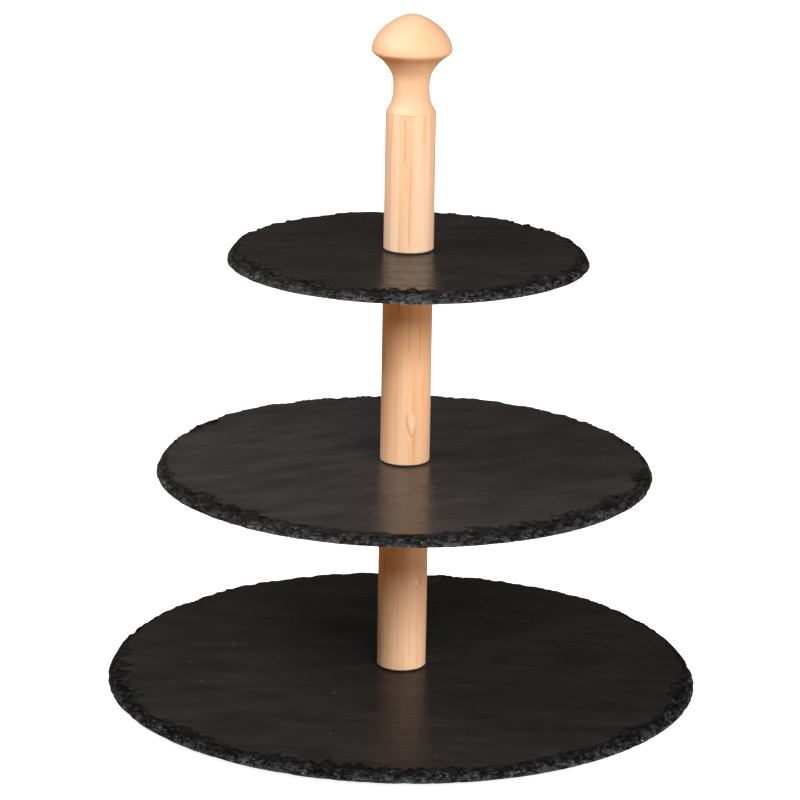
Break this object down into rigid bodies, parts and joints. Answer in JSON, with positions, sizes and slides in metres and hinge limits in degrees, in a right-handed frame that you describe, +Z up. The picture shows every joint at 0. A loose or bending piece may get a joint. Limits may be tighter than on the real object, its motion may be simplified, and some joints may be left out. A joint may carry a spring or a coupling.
{
  "type": "tiered cake stand",
  "caption": "Tiered serving stand: round natural-slate plates stacked in shrinking sizes on screw-together bamboo posts, with a turned mushroom knob as carrying handle.",
  "frame": {"origin": "on the table, under the middle of the stand: bottom centre of the bounding box, on the axis that every post shares", "axes": "+Z up along the posts, towards the knob; the stand is round, so +X is only the side to the right of a person who looks along +Y; the feet lie on the diagonals between X and Y"},
  "size_m": [0.3, 0.3, 0.3465],
  "materials": {
    "slate": "satin",
    "bamboo": "satin",
    "knob_wood": "satin",
    "zinc_plated_steel": "satin",
    "brass": "satin",
    "black_rubber": "matte",
    "foot_rubber": "matte"
  },
  "bodies": {
    "base": {"base_plate": "slate", "base_bolt": "zinc_plated_steel", "base_bolt_washer": "zinc_plated_steel", "base_bolt_pad": "black_rubber", "foot_front_left": "foot_rubber", "foot_front_right": "foot_rubber", "foot_rear_right": "foot_rubber", "foot_rear_left": "foot_rubber"},
    "lower_seat_washer": {"lower_post_bottom_washer": "black_rubber"},
    "lower_post": {"lower_post": "bamboo", "lower_post_bottom_insert": "brass", "lower_post_top_insert": "brass", "lower_post_top_washer": "black_rubber"},
    "middle_plate": {"middle_plate": "slate"},
    "middle_seat_washer": {"middle_post_bottom_washer": "black_rubber"},
    "middle_post": {"middle_post": "bamboo", "middle_post_stud": "zinc_plated_steel", "middle_post_top_insert": "brass", "middle_post_top_washer": "black_rubber"},
    "top_plate": {"top_plate": "slate"},
    "handle_seat_washer": {"handle_bottom_washer": "black_rubber"},
    "handle": {"handle_post": "bamboo", "handle_stud": "zinc_plated_steel", "handle_knob": "knob_wood", "knob_dowel": "knob_wood"}
  },
  "joints": [
    {"name": "lower_post_lift", "type": "slide", "parent": "base", "child": "lower_seat_washer", "axis": [0, 0, 1], "range_m": [0, 0.012]},
    {"name": "lower_post_turn", "type": "hinge", "parent": "lower_seat_washer", "child": "lower_post", "pos_m": [0, 0, 0.01], "axis": [0, 0, 1], "range_deg": [0, 4320]},
    {"name": "middle_plate_spin", "type": "hinge", "parent": "lower_post", "child": "middle_plate", "pos_m": [0, 0, 0.1135], "axis": [0, 0, 1], "continuous": true},
    {"name": "middle_post_lift", "type": "slide", "parent": "lower_post", "child": "middle_seat_washer", "axis": [0, 0, 1], "range_m": [0, 0.012]},
    {"name": "middle_post_turn", "type": "hinge", "parent": "middle_seat_washer", "child": "middle_post", "pos_m": [0, 0, 0.1195], "axis": [0, 0, 1], "range_deg": [0, 4320]},
    {"name": "top_plate_spin", "type": "hinge", "parent": "middle_post", "child": "top_plate", "pos_m": [0, 0, 0.223], "axis": [0, 0, 1], "continuous": true},
    {"name": "handle_lift", "type": "slide", "parent": "middle_post", "child": "handle_seat_washer", "axis": [0, 0, 1], "range_m": [0, 0.012]},
    {"name": "handle_turn", "type": "hinge", "parent": "handle_seat_washer", "child": "handle", "pos_m": [0, 0, 0.229], "axis": [0, 0, 1], "range_deg": [0, 4320]}
  ],
  "couplings": [
    {"joint": "lower_post_turn", "follows": "lower_post_lift", "rad_per_m": 6283.2},
    {"joint": "middle_post_turn", "follows": "middle_post_lift", "rad_per_m": 6283.2},
    {"joint": "handle_turn", "follows": "handle_lift", "rad_per_m": 6283.2}
  ]
}
